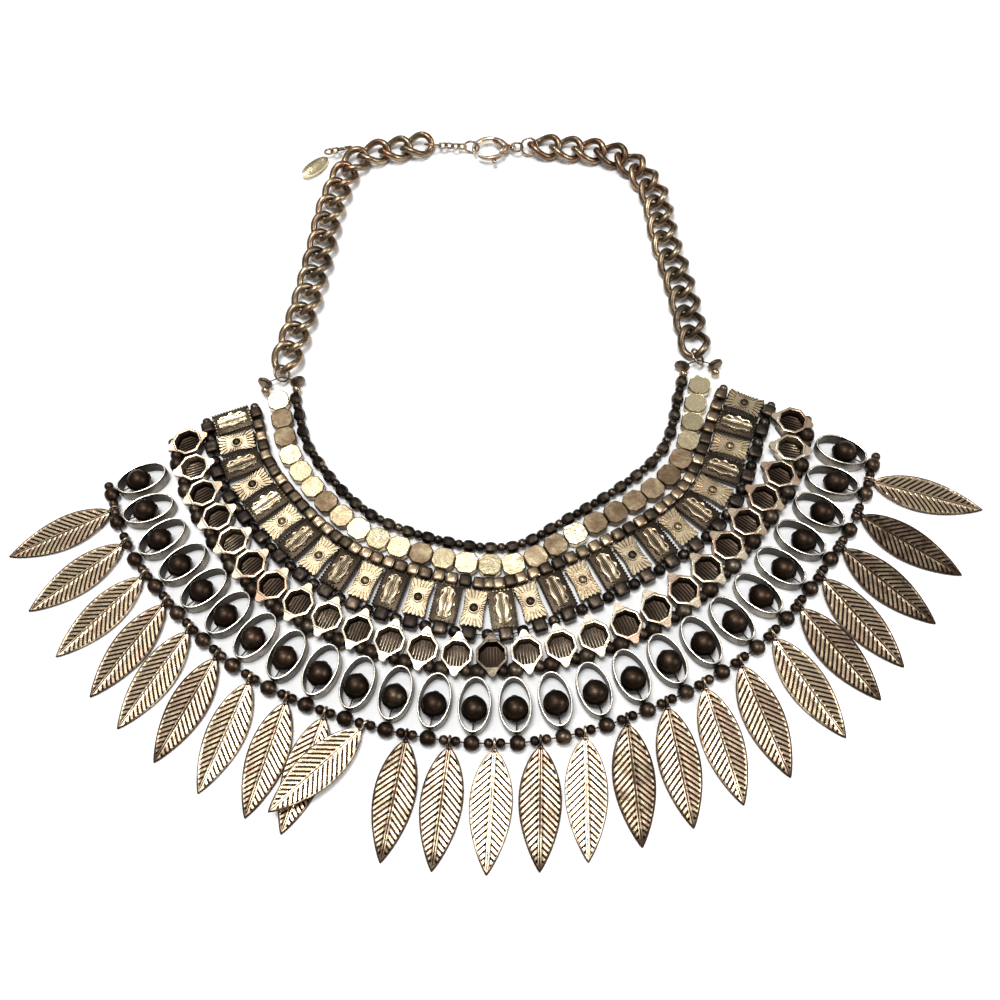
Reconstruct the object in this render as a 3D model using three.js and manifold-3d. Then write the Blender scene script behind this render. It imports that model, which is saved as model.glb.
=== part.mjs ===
// A bib necklace that lies flat: nine rows of strung metal pieces round the neck, a fringe of leaf
// pendants, two curb chains, a lobster clasp with a sprung lever, and an oval tag.
// Millimetres, +Z up. The necklace is drawn round the middle of the neck, with the bib towards -Y,
// and at the end it is moved so that the origin is at the middle of its underside.
import * as THREE from 'three';
import { mergeVertices } from 'three/addons/utils/BufferGeometryUtils.js';
import Module from 'manifold-3d';

const wasm = await Module();
wasm.setup();

// ---- driving dimensions -----------------------------------------------------------------------
const GAP = 0.3;
const THREAD_HALF = 0.3;
const THREAD_Z = 2;
// A round bead is full width over this part of its length.
const BEAD_SHOULDER = 0.55;

const INNER_BEAD = { length: 4, radius: 1.8, sides: 5 };
const OCTAGON = { across: 6.4, corner: 1.8, half: 1.5 };
const SPACER_BEAD = { half: 1.45 };
const PLAQUE = { width: 6.4, length: 12.2, half: 1.5 };
const SQUARE_BEAD = { half: 1.65 };
const CUP = { across: 9.1, ear: 5.7, earHalf: 1.1, height: 4.6, wall: 0.8, floor: 1, string: 4.7 };
const ROUND_BEAD = { length: 4, radius: 1.9, sides: 4 };
const OVAL_RING = { width: 9.6, length: 16.2, wall: 0.7, height: 5, sides: 8 };
const BALL = { radius: 3.7, across: 6, down: 3 };
const FOOT_BEAD = { length: 4.4, radius: 2.35, sides: 4 };
const LEAF = {
  length: 33.4, width: 11.3, stem: 1.6, thick: 1, start: 1.3, shoulder: 1.2, seat: 1.1, tilt: 2,
};
const BAIL = { radius: 1.25, wire: 0.4 };

const CURB_LINK = { halfLength: 5.5, halfWidth: 4.4, wire: 1.45, count: 15, twist: Math.PI / 4 };
const CHAIN_Z = 3.05;
const SMALL_LINK = { halfLength: 1.5, halfWidth: 1.2, wire: 0.4, steps: 6 };
// How far a small link bites into the next, so that a run of them is one solid.
const NIP = 0.2;
const JUMP_RING = { halfLength: 2.7, halfWidth: 2.7, wire: 0.4, steps: 8 };
const WIDE_RING = { halfLength: 3, halfWidth: 3, wire: 0.4, steps: 8 };
const TAIL_RING = { halfLength: 2.15, halfWidth: 2.15, wire: 0.4, steps: 8 };
const END_RING = { halfLength: 2.8, halfWidth: 2.8, wire: 0.4, steps: 8 };
const RONDELLE = { radius: 2.7, thick: 1.6, side: 5.4, back: 6.5, turn: 60 };
const END_BAR = { thick: 0.6, length: 4, reach: 0.7 };
const TAG = { length: 13, width: 6, thick: 1, hole: 0.9, margin: 1.9, lift: 1, tilt: -4 };
const TAG_PLACE = { x: -63, y: 91.5, heading: 229 };
const TAG_LINKS = { start: [-52, 98.6, 3.2], heading: 193, firstTurn: 50 };
const EXTENDER = { start: [-18.9, 98.4, 3.15], heading: -8 };

const CLASP_Z = 3;
const TAIL_RING_LIFT = 0.15;
const CLASP = { x: 2.8, y: 95.3, thick: 2.4, outer: [7.2, 5.8], inner: [4.3, 3.9], innerAt: [-1.3, 0.2] };
const GATE = { left: -4.4, right: 2.9, top: -1.6, bottom: -7, thick: 0.9 };
const SLOT = { left: 1.3, right: 5.7, top: -0.8, bottom: -6.8, high: 1.5 };
const PIVOT = { x: 4.1, y: -3, disc: 1.4, pin: 0.45 };
const THUMB = { x: 1.2, y: -6.4, halfWidth: 0.75, halfLength: 1.3 };
const TAIL = { x: 6.2, radius: 1.35, wire: 0.5 };

// Each row's route runs from the wearer's right end of the bib, round the front, to the left end.
const ROW = {
  inner: { count: 29, route: [[-63.5, -11], [-56.5, -32.5], [-34.5, -56.5], [0.5, -67.5],
    [21, -60], [52.5, -38], [63, -10.5]] },
  octagon: { count: 29, route: [[-69, -12], [-61.5, -36.5], [-37, -62], [1.5, -73.5],
    [24, -64.7], [57, -43.5], [68.5, -12.5]] },
  plaque: { count: 28, route: [[-83.5, -19], [-75.5, -42], [-49, -71], [-14, -85],
    [12.5, -85], [62, -58.5], [82, -20]] },
  cup: { count: 27, route: [[-97, -27], [-87.5, -50], [-59.5, -82.5], [-5, -101.8],
    [50, -88.2], [88.6, -48], [95.9, -28]] },
  ring: { count: 26, route: [[-110, -40], [-99.7, -62.2], [-59.8, -99.9], [4, -116.8],
    [62.4, -98], [97.7, -62], [109.3, -39.5]] },
};
const CHAIN_ROUTE = {
  right: [[-67.2, 4.5], [-62.5, 26], [-58.5, 50], [-55, 73], [-46.5, 93], [-24.8, 98.4]],
  left: [[68.5, 4.5], [66.5, 26], [63, 49], [60.5, 71.5], [49.5, 88.5], [22.8, 95.2]],
};
// How far each leaf swings from square to its string, in degrees, anticlockwise from above.
const LEAF_SWING = [7, 9, 7, 15, 14, 14, 12, 9, 3, -29, 2, 0, -3,
  -9, -15, -16, -16, -15, -16, -13, -14, -17, -9, -8, 4];
// The leaf that lies across its neighbour rises towards its tip, in place of sinking to it.
const CROSSING_LEAF = 10;
const CROSSING_RISE = 5.6;

const COLOUR = {
  bronze: [0x4a3a2b, 0.42, 0.9],
  pale: [0xcdb48a, 0.35, 0.95],
  dark: [0x2c241e, 0.4, 0.85],
  copper: [0x8a5b43, 0.38, 0.95],
};

// ---- placing --------------------------------------------------------------------------------
const degrees = THREE.MathUtils.degToRad;
const flatCurve = (points) => new THREE.CatmullRomCurve3(
  points.map(([x, y]) => new THREE.Vector3(x, y, 0)), false, 'catmullrom');

// Evenly spaced places on a route. A place's X runs along the row and its Y points to the neck.
function placesOn(route, count) {
  const curve = flatCurve(route);
  return Array.from({ length: count }, (_, i) => {
    const u = i / (count - 1);
    const tangent = curve.getTangentAt(u);
    return { at: curve.getPointAt(u), heading: Math.atan2(tangent.y, tangent.x) };
  });
}

function matrixOf(place, z = 0) {
  return new THREE.Matrix4().makeRotationZ(place.heading).setPosition(place.at.x, place.at.y, z);
}

function shifted(place, toNeck) {
  return { at: new THREE.Vector3(0, toNeck, 0).applyMatrix4(matrixOf(place)), heading: place.heading };
}

function between(a, b) {
  const along = new THREE.Vector3().subVectors(b.at, a.at);
  return { at: a.at.clone().lerp(b.at, 0.5), heading: Math.atan2(along.y, along.x) };
}

const ringPlaces = placesOn(ROW.ring.route, ROW.ring.count);
const plaquePlaces = placesOn(ROW.plaque.route, ROW.plaque.count);
const headOfPlaque = PLAQUE.length / 2 + GAP + SPACER_BEAD.half;
const footOfPlaque = PLAQUE.length / 2 + GAP + SQUARE_BEAD.half;
const footOfRing = OVAL_RING.length / 2 + FOOT_BEAD.radius;
const footPlaces = ringPlaces.map((place) => shifted(place, -footOfRing));
const leafPlaces = footPlaces.slice(1).map((place, i) => between(footPlaces[i], place));

// ---- solids ---------------------------------------------------------------------------------
function toSolid(geometry) {
  const plain = geometry.index ? geometry.clone() : geometry;
  plain.deleteAttribute('normal');
  plain.deleteAttribute('uv');
  const merged = mergeVertices(plain, 1e-4);
  return new wasm.Manifold(new wasm.Mesh({
    numProp: 3,
    vertProperties: new Float32Array(merged.attributes.position.array),
    triVerts: new Uint32Array(merged.index.array),
  }));
}

function toGeometry(solid) {
  const mesh = solid.getMesh();
  const geometry = new THREE.BufferGeometry();
  geometry.setAttribute('position', new THREE.BufferAttribute(mesh.vertProperties, 3));
  geometry.setIndex(new THREE.BufferAttribute(mesh.triVerts, 1));
  geometry.computeVertexNormals();
  return geometry;
}

const joined = (geometries) => geometries.map(toSolid).reduce((sum, solid) => sum.add(solid));

function sectionPoints(sides) {
  if (sides === 4) return [[1, 1], [-1, 1], [-1, -1], [1, -1]];
  return Array.from({ length: sides }, (_, i) => {
    const angle = (i + 0.5) * 2 * Math.PI / sides;
    return [Math.cos(angle), Math.sin(angle)];
  });
}

// Pieces threaded on one string, as one closed solid: a section swept through every piece's
// stations in turn. A station is [place along the piece, half width towards the neck, half height].
function strung(places, stations, sides, z) {
  const section = sectionPoints(sides);
  const rings = places.flatMap((place) => stations.map(([along, halfWidth, halfHeight]) => section.map(
    ([y, up]) => new THREE.Vector3(along, y * halfWidth, z + up * halfHeight)
      .applyMatrix4(matrixOf(place)))));
  const triangles = [];
  for (let k = 1; k < sides - 1; k += 1) {
    triangles.push([0, k, k + 1]);
    triangles.push([0, k + 1, k].map((corner) => corner + (rings.length - 1) * sides));
  }
  for (let r = 0; r < rings.length - 1; r += 1) {
    for (let k = 0; k < sides; k += 1) {
      const a = r * sides + k;
      const b = r * sides + (k + 1) % sides;
      triangles.push([a, a + sides, b], [b, a + sides, b + sides]);
    }
  }
  const geometry = new THREE.BufferGeometry().setFromPoints(rings.flat());
  return geometry.setIndex(triangles.flat().reverse());
}

const threadEnds = (half, stations) => [
  [-half, THREAD_HALF, THREAD_HALF], ...stations, [half, THREAD_HALF, THREAD_HALF]];

function roundBead({ length, radius }) {
  const half = length / 2;
  const shoulder = half * BEAD_SHOULDER;
  return threadEnds(half, [[-shoulder, radius, radius], [shoulder, radius, radius]]);
}

const squareBead = (half) => threadEnds(half, [[-half, half, half], [half, half, half]]);

function octagonStations({ across, corner, half }) {
  const reach = across / 2;
  const flat = reach - corner;
  return [[-reach, flat, half], [-flat, reach, half], [flat, reach, half], [reach, flat, half]];
}

function plaqueStations({ width, length, half }) {
  return threadEnds(width / 2, [[-width / 2, length / 2, half], [width / 2, length / 2, half]]);
}

function ellipse(halfX, halfY, sides) {
  return Array.from({ length: sides }, (_, i) => {
    const angle = (i + 0.5) * 2 * Math.PI / sides;
    return new THREE.Vector2(halfX * Math.cos(angle), halfY * Math.sin(angle));
  });
}

function prism(points, bottom, height, holes = []) {
  const shape = new THREE.Shape(points);
  shape.holes = holes.map((hole) => new THREE.Path(hole));
  return new THREE.ExtrudeGeometry(shape, { depth: height, bevelEnabled: false })
    .translate(0, 0, bottom);
}

const box = (x, y, z, atX, atY, atZ) => new THREE.BoxGeometry(x, y, z).translate(atX, atY, atZ);

// ---- the rows -------------------------------------------------------------------------------
const necklace = new THREE.Group();

function addNode(name, geometry, [colour, roughness, metalness], parent = necklace) {
  const material = new THREE.MeshStandardMaterial({ color: colour, roughness, metalness });
  const mesh = new THREE.Mesh(geometry, material);
  mesh.name = name;
  parent.add(mesh);
  return mesh;
}

// A row is three solids, so that each follows its own short stretch of the bib.
function addRow(name, places, finish, make) {
  ['right_side', 'front', 'left_side'].forEach((side, i) => {
    const from = Math.round(places.length * i / 3);
    const to = Math.round(places.length * (i + 1) / 3);
    addNode(`${name}_${side}`, make(places.slice(from, to)), finish);
  });
}

addRow('inner_beads', placesOn(ROW.inner.route, ROW.inner.count), COLOUR.dark,
  (places) => strung(places, roundBead(INNER_BEAD), INNER_BEAD.sides, THREAD_Z));
addRow('octagon_plaques', placesOn(ROW.octagon.route, ROW.octagon.count), COLOUR.pale,
  (places) => strung(places, octagonStations(OCTAGON), 4, THREAD_Z));
addRow('spacer_beads', plaquePlaces.map((place) => shifted(place, headOfPlaque)), COLOUR.bronze,
  (places) => strung(places, squareBead(SPACER_BEAD.half), 4, THREAD_Z));
addRow('long_plaques', plaquePlaces, COLOUR.bronze,
  (places) => strung(places, plaqueStations(PLAQUE), 4, THREAD_Z));
addRow('square_beads', plaquePlaces.map((place) => shifted(place, -footOfPlaque)), COLOUR.bronze,
  (places) => strung(places, squareBead(SQUARE_BEAD.half), 4, THREAD_Z));

// An empty eight-sided cup with a pointed ear on its neck side and one on its outer side.
function cupSolid() {
  const reach = CUP.across / 2;
  const flat = reach * Math.tan(Math.PI / 8);
  const quarter = [[flat, -reach], [reach, -flat], [reach, flat], [flat, reach]];
  const ear = [[CUP.earHalf, reach], [0, CUP.ear], [-CUP.earHalf, reach]];
  const half = [...quarter, ...ear];
  const outline = [...half, ...half.map(([x, y]) => [-x, -y])];
  const outside = outline.map(([x, y]) => new THREE.Vector2(x, y));
  const pocketRadius = (reach - CUP.wall) / Math.cos(Math.PI / 8);
  const pocket = prism(ellipse(pocketRadius, pocketRadius, 8), CUP.floor, CUP.height);
  return toGeometry(toSolid(prism(outside, 0, CUP.height)).subtract(toSolid(pocket)));
}

// The cups hang on one string that runs through their outer ears, with a round bead between cups.
function strungCups(places) {
  const cup = cupSolid();
  const cups = places.map((place) => cup.clone().applyMatrix4(matrixOf(place)));
  const beads = places.slice(1).map((place, i) => shifted(between(places[i], place), -CUP.string));
  const ends = [places[0], places.at(-1)].map((place) => shifted(place, -CUP.string));
  const thread = strung([ends[0], ...beads, ends[1]], [[0, THREAD_HALF, THREAD_HALF]], 4, THREAD_Z);
  const beadRow = strung(beads, roundBead(ROUND_BEAD), ROUND_BEAD.sides, THREAD_Z);
  return toGeometry(joined([...cups, thread, beadRow]));
}

addRow('octagon_cups', placesOn(ROW.cup.route, ROW.cup.count), COLOUR.copper, strungCups);

// The fringe: oval band rings with a ball inside each, held by a thread that runs from the ball
// out through the ring to the bead at its foot, all tied to the outer string.
function ringWithBall(place) {
  const { width, length, wall, height, sides } = OVAL_RING;
  const band = prism(ellipse(width / 2, length / 2, sides), 0, height,
    [ellipse(width / 2 - wall, length / 2 - wall, sides)]);
  const ball = new THREE.SphereGeometry(BALL.radius, BALL.across, BALL.down)
    .rotateX(Math.PI / 2).translate(0, 0, BALL.radius);
  const thread = box(2 * THREAD_HALF, footOfRing, 2 * THREAD_HALF, 0, -footOfRing / 2, THREAD_Z);
  return [band, ball, thread].map((geometry) => geometry.applyMatrix4(matrixOf(place)));
}

function joinedFringe(places) {
  const feet = places.map((place) => shifted(place, -footOfRing));
  const string = strung(feet, roundBead(FOOT_BEAD), FOOT_BEAD.sides, FOOT_BEAD.radius);
  return toGeometry(joined([string, ...places.flatMap(ringWithBall)]));
}

addRow('ring_fringe', ringPlaces, COLOUR.dark, joinedFringe);

// ---- the leaves -----------------------------------------------------------------------------
function leafPlate() {
  const half = LEAF.width / 2;
  const stem = LEAF.stem / 2;
  const outline = new THREE.Shape();
  outline.moveTo(-stem, 0);
  outline.lineTo(-stem, -LEAF.shoulder);
  outline.bezierCurveTo(-half * 1.25, -LEAF.length * 0.24, -half * 1.2, -LEAF.length * 0.6,
    0, -LEAF.length);
  outline.bezierCurveTo(half * 1.2, -LEAF.length * 0.6, half * 1.25, -LEAF.length * 0.24,
    stem, -LEAF.shoulder);
  outline.lineTo(stem, 0);
  return new THREE.ExtrudeGeometry(outline, { depth: LEAF.thick, bevelEnabled: false, curveSegments: 4 });
}

// The bail is a small loop round the string, sunk into the stem at the top of the leaf.
function leafSolid(rise) {
  const plate = leafPlate().translate(0, -LEAF.start, -LEAF.seat).rotateX(rise);
  const bail = new THREE.TorusGeometry(BAIL.radius, BAIL.wire, 3, 6).rotateY(Math.PI / 2);
  return toGeometry(joined([plate, bail]));
}

LEAF_SWING.forEach((swing, i) => {
  const number = i + 1;
  const rise = number === CROSSING_LEAF ? -CROSSING_RISE : LEAF.tilt;
  const name = `leaf_${String(number).padStart(2, '0')}`;
  const leaf = addNode(name, leafSolid(degrees(rise)), i % 3 ? COLOUR.pale : COLOUR.copper);
  leaf.position.set(leafPlaces[i].at.x, leafPlaces[i].at.y, FOOT_BEAD.radius);
  leaf.rotation.z = leafPlaces[i].heading + degrees(swing);
});

// ---- the chains -----------------------------------------------------------------------------
// A link's wire is an oval twisted about its long axis, so that the links lie flat on each other.
class TwistedOval extends THREE.Curve {
  constructor(halfLength, halfWidth, twist) {
    super();
    Object.assign(this, { halfLength, halfWidth, twist });
  }

  getPoint(t, target = new THREE.Vector3()) {
    const angle = 2 * Math.PI * t;
    const side = this.halfWidth * Math.sin(angle);
    const turn = this.twist * Math.cos(angle);
    return target.set(this.halfLength * Math.cos(angle), side * Math.cos(turn), side * Math.sin(turn));
  }
}

function linkGeometry({ halfLength, halfWidth, wire, twist = 0 }, steps, sides) {
  const centreLine = new TwistedOval(halfLength, halfWidth, twist);
  return new THREE.TubeGeometry(centreLine, steps, wire, sides, true);
}

function curbChain(route) {
  const links = placesOn(route, CURB_LINK.count).map(
    (place) => linkGeometry(CURB_LINK, 8, 4).applyMatrix4(matrixOf(place, CHAIN_Z)));
  return toGeometry(joined(links));
}

addNode('curb_chain_right_side', curbChain(CHAIN_ROUTE.right), COLOUR.bronze);
addNode('curb_chain_left_side', curbChain(CHAIN_ROUTE.left), COLOUR.bronze);

// A ring or small link, turned about the chain's own line and placed on it.
function linkAt(size, x, y, z, turn, heading = 0) {
  return linkGeometry(size, size.steps, 3).rotateX(turn).rotateZ(heading).translate(x, y, z);
}

// Links hooked in a line, each nipped into the next. A piece is [size, turn about the line].
function hookedLinks(pieces, start, heading) {
  let along = 0;
  const placed = pieces.map(([size, turn], i) => {
    const before = i ? pieces[i - 1][0] : null;
    if (before) along += before.halfLength + size.halfLength - before.wire - size.wire + NIP;
    const [x, y, z] = start;
    return linkAt(size, x + along * Math.cos(heading), y + along * Math.sin(heading), z, turn, heading);
  });
  return toGeometry(joined(placed));
}

// Between the chain and the clasp: a ring, four small links and the ring held in the claw.
const extender = hookedLinks(
  [[WIDE_RING, -Math.PI / 4], [SMALL_LINK, 0], [SMALL_LINK, Math.PI / 2],
    [SMALL_LINK, 0], [SMALL_LINK, Math.PI / 2], [JUMP_RING, Math.PI / 2]],
  EXTENDER.start, degrees(EXTENDER.heading));
addNode('extender_links', extender, COLOUR.bronze);

// ---- the clasp ------------------------------------------------------------------------------
function slab(points, thick, atX = 0, atY = 0) {
  return toSolid(prism(points, -thick / 2, thick).translate(atX, atY, 0));
}

function boxSolid({ left, right, top, bottom }, thick) {
  return toSolid(box(right - left, top - bottom, thick, (left + right) / 2, (top + bottom) / 2, 0));
}

const round = (radius, sides) => ellipse(radius, radius, sides);

function clawRing(thick) {
  return slab(ellipse(...CLASP.outer, 16), thick)
    .subtract(slab(ellipse(...CLASP.inner, 12), thick + 1, ...CLASP.innerAt));
}

function claspBody() {
  const tail = toSolid(new THREE.TorusGeometry(TAIL.radius, TAIL.wire, 6, 10)
    .rotateX(Math.PI / 2).translate(TAIL.x + TAIL.radius, 0, 0));
  const tailHole = slab(round(TAIL.radius - TAIL.wire, 8), 3);
  const pin = slab(round(PIVOT.pin, 8), CLASP.thick - 0.2, PIVOT.x, PIVOT.y);
  const hole = toSolid(toGeometry(tailHole).rotateX(Math.PI / 2).translate(TAIL.x + TAIL.radius, 0, 0));
  return clawRing(CLASP.thick).subtract(boxSolid(GATE, CLASP.thick + 1))
    .subtract(boxSolid(SLOT, SLOT.high)).add(pin).add(tail).subtract(hole);
}

function claspLever() {
  const thumb = slab(round(1, 8).map((p) => new THREE.Vector2(
    p.x * THUMB.halfWidth, p.y * THUMB.halfLength)), GATE.thick, THUMB.x, THUMB.y);
  const reach = { ...GATE, left: GATE.left + GAP, right: PIVOT.x };
  return clawRing(GATE.thick).intersect(boxSolid(reach, GATE.thick))
    .add(slab(round(PIVOT.disc, 10), GATE.thick, PIVOT.x, PIVOT.y))
    .add(thumb)
    .subtract(slab(round(PIVOT.pin + GAP, 8), GATE.thick + 1, PIVOT.x, PIVOT.y));
}

const clasp = new THREE.Group();
clasp.position.set(CLASP.x, CLASP.y, CLASP_Z);
necklace.add(clasp);
addNode('clasp_body', toGeometry(claspBody()), COLOUR.copper, clasp);
addNode('clasp_lever', toGeometry(claspLever()), COLOUR.copper, clasp);

const claspRings = hookedLinks([[TAIL_RING, 0], [WIDE_RING, Math.PI / 4]],
  [CLASP.x + TAIL.x + TAIL.radius + TAIL_RING.halfLength, CLASP.y, CLASP_Z + TAIL_RING_LIFT], 0);
addNode('clasp_rings', claspRings, COLOUR.bronze);

// ---- the tag and the ends of the bib ----------------------------------------------------------
const tagPlace = {
  at: new THREE.Vector3(TAG_PLACE.x, TAG_PLACE.y, 0), heading: degrees(TAG_PLACE.heading),
};

function tagPlate() {
  const nearEnd = new THREE.Vector2(TAG.margin - TAG.length / 2, 0);
  const hole = ellipse(TAG.hole, TAG.hole, 6).map((point) => point.add(nearEnd));
  const plate = prism(ellipse(TAG.length / 2, TAG.width / 2, 14), 0, TAG.thick, [hole]);
  return plate.rotateY(degrees(TAG.tilt)).translate(0, 0, TAG.lift).applyMatrix4(matrixOf(tagPlace));
}

addNode('oval_tag', tagPlate(), COLOUR.bronze);
const tagLinks = hookedLinks(
  [[JUMP_RING, degrees(TAG_LINKS.firstTurn)], [SMALL_LINK, 0], [SMALL_LINK, Math.PI / 2]],
  TAG_LINKS.start, degrees(TAG_LINKS.heading));
addNode('tag_links', tagLinks, COLOUR.bronze);

// A jump ring hangs from the chain's end and carries two rondelles, one for each edge of the bib.
function endRings(chainRoute) {
  const end = placesOn(chainRoute, CURB_LINK.count)[0];
  const hook = new THREE.Vector3(-CURB_LINK.halfLength - END_BAR.reach, 0, 0).applyMatrix4(matrixOf(end));
  const rondelles = [-1, 1].map((side) => new THREE.TorusGeometry(
    RONDELLE.radius - RONDELLE.thick / 2, RONDELLE.thick / 2, 4, 8)
    .rotateY(degrees(90)).rotateZ(degrees(-RONDELLE.turn * side))
    .translate(hook.x + RONDELLE.side * side, -RONDELLE.back, RONDELLE.radius));
  const { thick, length } = END_BAR;
  const cross = box(2 * RONDELLE.side, thick, thick, hook.x, -RONDELLE.back, RONDELLE.radius);
  const up = box(thick, length, thick, hook.x, length / 2 - RONDELLE.back, RONDELLE.radius);
  const ring = linkAt(END_RING, hook.x, hook.y, CHAIN_Z, Math.PI / 4, end.heading);
  return toGeometry(joined([...rondelles, cross, up, ring]));
}

addNode('end_rings_right_side', endRings(CHAIN_ROUTE.right), COLOUR.bronze);
addNode('end_rings_left_side', endRings(CHAIN_ROUTE.left), COLOUR.bronze);

// ---- the origin at the middle of the underside ------------------------------------------------
necklace.updateMatrixWorld(true);
const bounds = new THREE.Box3().setFromObject(necklace, true);
const middle = bounds.getCenter(new THREE.Vector3());
necklace.position.set(-middle.x, -middle.y, -bounds.min.z);

export default necklace;
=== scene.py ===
"""The looks of a bib necklace that lies flat: strung metal beads, plaques, cups and rings, a fringe
of engraved leaves, curb chains, a lobster clasp and an oval tag. Sizes here are millimetres, and MM
turns them into metres as each piece goes into place."""
import math
import random

import bpy
from mathutils import Matrix, Vector


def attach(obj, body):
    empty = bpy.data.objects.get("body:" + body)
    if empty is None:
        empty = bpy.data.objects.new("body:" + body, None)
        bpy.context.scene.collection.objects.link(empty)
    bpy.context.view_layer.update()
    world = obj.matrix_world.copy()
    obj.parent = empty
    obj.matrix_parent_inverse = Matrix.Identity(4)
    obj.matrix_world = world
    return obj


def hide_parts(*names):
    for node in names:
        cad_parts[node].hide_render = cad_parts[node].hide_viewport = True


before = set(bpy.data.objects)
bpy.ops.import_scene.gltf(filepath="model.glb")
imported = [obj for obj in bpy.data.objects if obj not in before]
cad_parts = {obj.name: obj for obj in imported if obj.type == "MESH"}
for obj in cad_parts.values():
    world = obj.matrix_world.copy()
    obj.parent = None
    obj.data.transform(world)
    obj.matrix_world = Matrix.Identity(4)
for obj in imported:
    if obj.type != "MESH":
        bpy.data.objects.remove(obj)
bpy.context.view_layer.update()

MM = 0.001
# The rows are drawn round the middle of the neck, and this moves them to the frame's own origin.
NECK_TO_FRAME = (-0.04, 28.73)
SIDES = ("right_side", "front", "left_side")
TURN = 2 * math.pi

ROUTES = {
    "inner": (29, [(-63.5, -11), (-56.5, -32.5), (-34.5, -56.5), (0.5, -67.5), (21, -60),
                   (52.5, -38), (63, -10.5)]),
    "octagon": (29, [(-69, -12), (-61.5, -36.5), (-37, -62), (1.5, -73.5), (24, -64.7),
                     (57, -43.5), (68.5, -12.5)]),
    "plaque": (28, [(-83.5, -19), (-75.5, -42), (-49, -71), (-14, -85), (12.5, -85),
                    (62, -58.5), (82, -20)]),
    "cup": (27, [(-97, -27), (-87.5, -50), (-59.5, -82.5), (-5, -101.8), (50, -88.2),
                 (88.6, -48), (95.9, -28)]),
    "ring": (26, [(-110, -40), (-99.7, -62.2), (-59.8, -99.9), (4, -116.8), (62.4, -98),
                  (97.7, -62), (109.3, -39.5)]),
    "right_chain": (15, [(-67.2, 4.5), (-62.5, 26), (-58.5, 50), (-55, 73), (-46.5, 93),
                         (-24.8, 98.4)]),
    "left_chain": (15, [(68.5, 4.5), (66.5, 26), (63, 49), (60.5, 71.5), (49.5, 88.5),
                        (22.8, 95.2)]),
}
# How far each leaf swings from square to its string, in degrees, anticlockwise from above.
LEAF_SWING = [7, 9, 7, 15, 14, 14, 12, 9, 3, -29, 2, 0, -3,
              -9, -15, -16, -16, -15, -16, -13, -14, -17, -9, -8, 4]
CROSSING_LEAF = 10
CROSSING_RISE = 5.6
LEAF_TILT = 2

# Tones run from 0, all dark patina, to 1, bare bright metal, from the wearer's right to the left.
OCTAGON_TONES = [1, .45, .5, .85, .8, .75, .45, .65, .8, .95, .9, .5, .75, .8, 1, .65, .65, .5, 1,
                 .45, .45, .5, .55, .4, .45, .75, .8, 1, 1]
BRIGHT_RAYS = (6, 8, 10, 18, 22, 24, 26)
BRIGHT_FRAMES = (1, 5, 13, 15)
BRIGHT_CUPS = (2, 5, 9, 11, 12, 13, 15, 16, 17, 26)
DARK_CUP = 14
LEAF_TONES = [.75, .85, .9, .7, .85, .6, .85, .7, .8, .9, .5, .6, .95, .55, 1, .45, .6, .8, .7, .85,
              .55, .6, .45, .35, .85]


# ---- placing ------------------------------------------------------------------------------------
def catmull(a, b, c, d, t):
    """A point of the uniform Catmull-Rom curve from b to c."""
    start = (c - a) * 0.5
    finish = (d - b) * 0.5
    return ((2 * t ** 3 - 3 * t ** 2 + 1) * b + (t ** 3 - 2 * t ** 2 + t) * start
            + (-2 * t ** 3 + 3 * t ** 2) * c + (t ** 3 - t ** 2) * finish)


def dense_route(points, steps=200):
    knots = [Vector(p) for p in points]
    knots = [2 * knots[0] - knots[1], *knots, 2 * knots[-1] - knots[-2]]
    path = []
    for i in range(1, len(knots) - 2):
        path += [catmull(*knots[i - 1:i + 3], k / steps) for k in range(steps)]
    return [*path, knots[-2]]


def places_on(name):
    """Evenly spaced (point, heading) on a route: local X runs along it and local Y to the neck."""
    count, points = ROUTES[name]
    path = dense_route(points)
    run = [0.0]
    for a, b in zip(path, path[1:]):
        run.append(run[-1] + (b - a).length)
    places = []
    k = 0
    for i in range(count):
        want = run[-1] * i / (count - 1)
        while k < len(path) - 2 and run[k + 1] < want:
            k += 1
        part = (want - run[k]) / (run[k + 1] - run[k])
        along = path[k + 1] - path[k]
        places.append((path[k] + along * part, math.atan2(along.y, along.x)))
    return places


def matrix_of(place, x=0.0, y=0.0, z=0.0, turn=0.0):
    point, heading = place
    shift = Matrix.Translation((point.x + NECK_TO_FRAME[0], point.y + NECK_TO_FRAME[1], 0))
    return shift @ Matrix.Rotation(heading, 4, "Z") @ Matrix.Translation((x, y, z)) \
        @ Matrix.Rotation(turn, 4, "Z")


def shifted(place, to_neck):
    point, heading = place
    return point + Vector((-math.sin(heading), math.cos(heading))) * to_neck, heading


def between(a, b):
    along = b[0] - a[0]
    return (a[0] + b[0]) / 2, math.atan2(along.y, along.x)


def third_of(index, count):
    """Which of the three solids of a row the piece belongs to, as the CAD rows are split."""
    return 0 if index < round(count / 3) else 1 if index < round(count * 2 / 3) else 2


# ---- making shapes --------------------------------------------------------------------------------
def deselect():
    if bpy.context.object and bpy.context.object.mode != "OBJECT":
        bpy.ops.object.mode_set(mode="OBJECT")
    bpy.ops.object.select_all(action="DESELECT")


def modelled(add, **settings):
    """A new primitive, alone in the selection, with its turn and size already in its mesh."""
    deselect()
    add(**settings)
    bpy.ops.object.transform_apply(location=True, rotation=True, scale=True)
    return bpy.context.object


def squeezed(piece, x=1.0, y=1.0, z=1.0):
    piece.scale = (x, y, z)
    deselect()
    piece.select_set(True)
    bpy.context.view_layer.objects.active = piece
    bpy.ops.object.transform_apply(location=True, rotation=True, scale=True)
    return piece


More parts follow.
